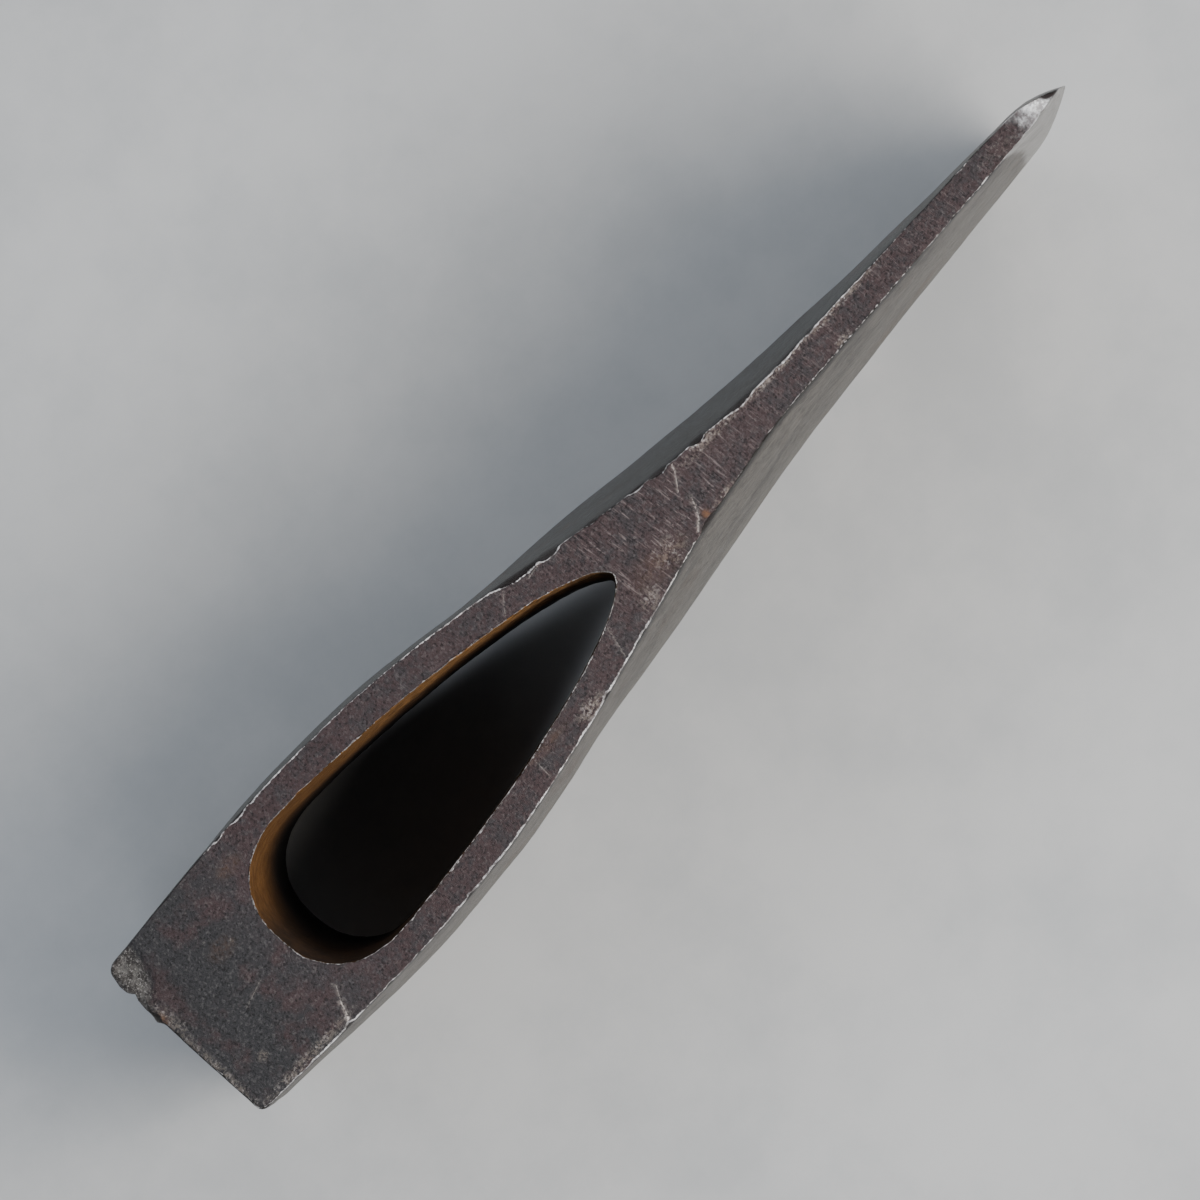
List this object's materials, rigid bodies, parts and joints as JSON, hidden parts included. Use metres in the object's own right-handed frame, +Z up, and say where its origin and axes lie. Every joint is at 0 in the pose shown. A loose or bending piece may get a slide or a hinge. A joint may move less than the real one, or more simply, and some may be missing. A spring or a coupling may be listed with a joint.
{
  "type": "felling axe head",
  "caption": "Forged steel head of a single-bit felling axe, with a square poll, a teardrop eye for the haft and a flared bit with a bowed cutting edge.",
  "frame": {"origin": "centre of the bounding box's bottom face, on the surface that the head rests on", "axes": "+X from the poll to the bit, +Y towards the cheek with the battered poll corner, +Z up. The eye's axis leans 4.6 degrees from +Z towards the poll, because the heel of the bit hangs lower than the poll."},
  "size_m": [0.1932, 0.0358, 0.0954],
  "materials": {
    "worn_steel": "dark brown-black patina, satin, worn bright along the edges and bare at the cutting edge, with rust inside the eye"
  },
  "bodies": {
    "root": {"axe_head": "worn_steel"}
  },
  "joints": []
}
